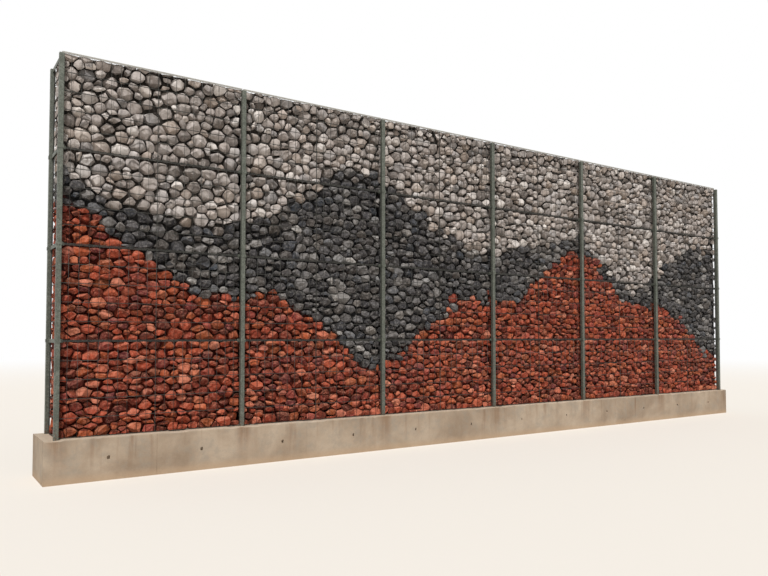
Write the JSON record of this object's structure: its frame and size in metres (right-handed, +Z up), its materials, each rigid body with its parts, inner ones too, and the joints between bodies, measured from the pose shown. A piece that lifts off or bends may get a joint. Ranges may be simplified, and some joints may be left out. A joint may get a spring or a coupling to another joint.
{
  "type": "gabion wall",
  "caption": "Free-standing gabion wall in bays: stone-filled wire baskets stacked in courses on a concrete plinth, held by steel posts strapped to the mesh.",
  "frame": {"origin": "centre of the plinth's underside, at ground level", "axes": "+X along the wall, +Y through its thickness towards the back, +Z up; the front faces -Y"},
  "size_m": [12.25, 0.7, 4.458],
  "materials": {
    "concrete": "cast, weathered",
    "red_stone": "rough, broken",
    "dark_stone": "rough, broken",
    "pale_stone": "rounded cobble",
    "galvanised_steel": "hot-dip galvanised, dull",
    "mesh_wire": "galvanised wire, dull"
  },
  "bodies": {
    "root": {"back_mesh_bay_1": "mesh_wire", "back_mesh_bay_2": "mesh_wire", "back_mesh_bay_3": "mesh_wire", "back_mesh_bay_4": "mesh_wire", "back_mesh_bay_5": "mesh_wire", "back_mesh_bay_6": "mesh_wire", "back_straps": "galvanised_steel", "dark_fill_bay_1": "dark_stone", "dark_fill_bay_2": "dark_stone", "dark_fill_bay_3": "dark_stone", "dark_fill_bay_4": "dark_stone", "dark_fill_bay_5": "dark_stone", "dark_fill_bay_6": "dark_stone", "front_mesh_bay_1": "mesh_wire", "front_mesh_bay_2": "mesh_wire", "front_mesh_bay_3": "mesh_wire", "front_mesh_bay_4": "mesh_wire", "front_mesh_bay_5": "mesh_wire", "front_mesh_bay_6": "mesh_wire", "front_straps": "galvanised_steel", "left_end_mesh": "mesh_wire", "lid_mesh": "mesh_wire", "pale_fill_bay_1": "pale_stone", "pale_fill_bay_2": "pale_stone", "pale_fill_bay_3": "pale_stone", "pale_fill_bay_4": "pale_stone", "pale_fill_bay_5": "pale_stone", "pale_fill_bay_6": "pale_stone", "plinth": "concrete", "post_frame_1": "galvanised_steel", "post_frame_2": "galvanised_steel", "post_frame_3": "galvanised_steel", "post_frame_4": "galvanised_steel", "post_frame_5": "galvanised_steel", "post_frame_6": "galvanised_steel", "post_frame_7": "galvanised_steel", "red_fill_bay_1": "red_stone", "red_fill_bay_2": "red_stone", "red_fill_bay_3": "red_stone", "red_fill_bay_4": "red_stone", "red_fill_bay_5": "red_stone", "red_fill_bay_6": "red_stone", "right_end_mesh": "mesh_wire"}
  },
  "joints": []
}
